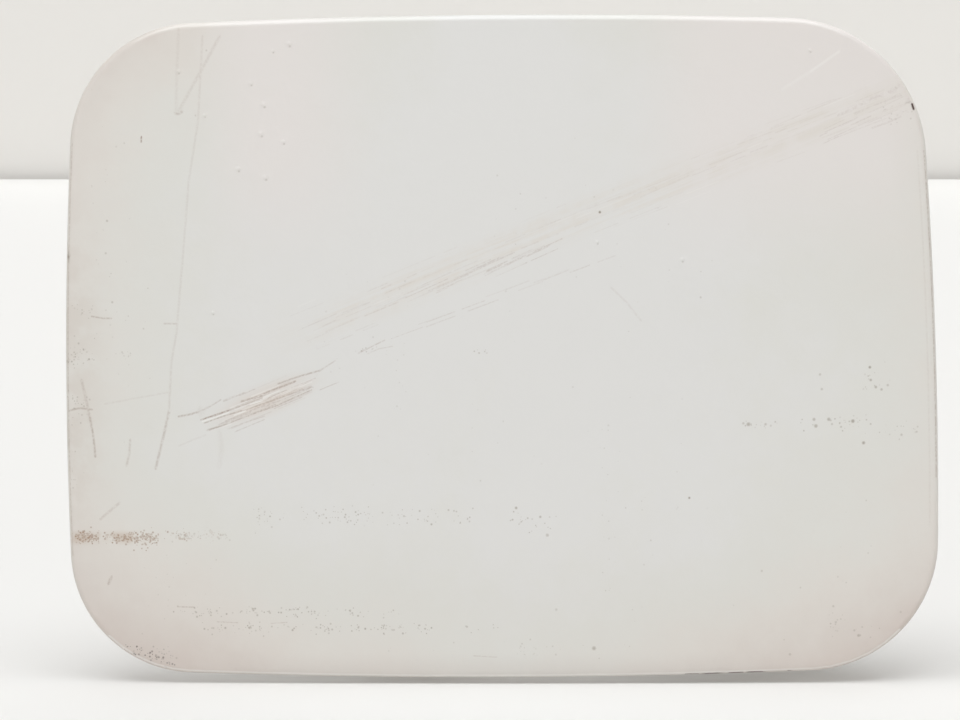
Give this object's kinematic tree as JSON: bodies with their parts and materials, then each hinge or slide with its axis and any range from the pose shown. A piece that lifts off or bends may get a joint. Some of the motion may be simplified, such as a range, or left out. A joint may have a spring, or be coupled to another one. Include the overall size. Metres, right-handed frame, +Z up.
{
  "type": "car fuel door",
  "caption": "Rounded rectangular car fuel door of hemmed, painted steel, on a hidden hinge with an over-centre spring, with a latch striker and a cap holder behind.",
  "frame": {"origin": "midway between the two bolt slots, on the hinge base's back face", "axes": "+X along the car from the latch edge towards the hinge edge, +Y into the car, +Z up; the painted face looks along -Y"},
  "size_m": [0.1841, 0.037, 0.14],
  "materials": {
    "body_paint": "clear-coated white paint, weathered and scuffed",
    "inner_paint": "thin white paint over primer",
    "sealer": "cured sealer",
    "mastic": "matt",
    "plated_steel": "zinc plated",
    "screw_steel": "dark plated",
    "pin_steel": "bright plated",
    "spring_steel": "drawn wire",
    "bush_plastic": "natural nylon",
    "black_plastic": "moulded",
    "buffer_rubber": "matt"
  },
  "bodies": {
    "base": {"hinge_base": "plated_steel", "hinge_pin": "pin_steel", "pin_clip": "screw_steel", "stop_spacer": "pin_steel", "base_spring_peg": "pin_steel"},
    "door": {"outer_panel": "body_paint", "inner_panel": "inner_paint", "hem_sealer": "sealer", "mastic_left": "mastic", "mastic_middle": "mastic", "mastic_right": "mastic", "hinge_arm": "plated_steel", "arm_screw_upper": "screw_steel", "arm_screw_lower": "screw_steel", "weld_nut_upper": "screw_steel", "weld_nut_lower": "screw_steel", "pivot_bush_upper": "bush_plastic", "pivot_bush_lower": "bush_plastic", "arm_spring_peg": "pin_steel", "latch_striker": "plated_steel", "striker_rivet_upper": "pin_steel", "striker_rivet_lower": "pin_steel", "buffer_upper_left": "buffer_rubber", "buffer_lower_left": "buffer_rubber", "buffer_upper_right": "buffer_rubber", "buffer_lower_right": "buffer_rubber", "cap_holder": "black_plastic"},
    "spring": {"over_centre_spring": "spring_steel"}
  },
  "joints": [
    {"name": "door_swing", "type": "hinge", "parent": "base", "child": "door", "pos_m": [0.024, -0.022, 0], "axis": [0, 0, 1], "range_deg": [0, 95]},
    {"name": "spring_swing", "type": "hinge", "parent": "base", "child": "spring", "pos_m": [0.02855, -0.00982, 0.03315], "axis": [0, 0, 1], "range_deg": [0, 47.5], "deforming": ["over_centre_spring"]}
  ],
  "couplings": [
    {"joint": "spring_swing", "follows": "door_swing", "ratio": 0.5}
  ]
}
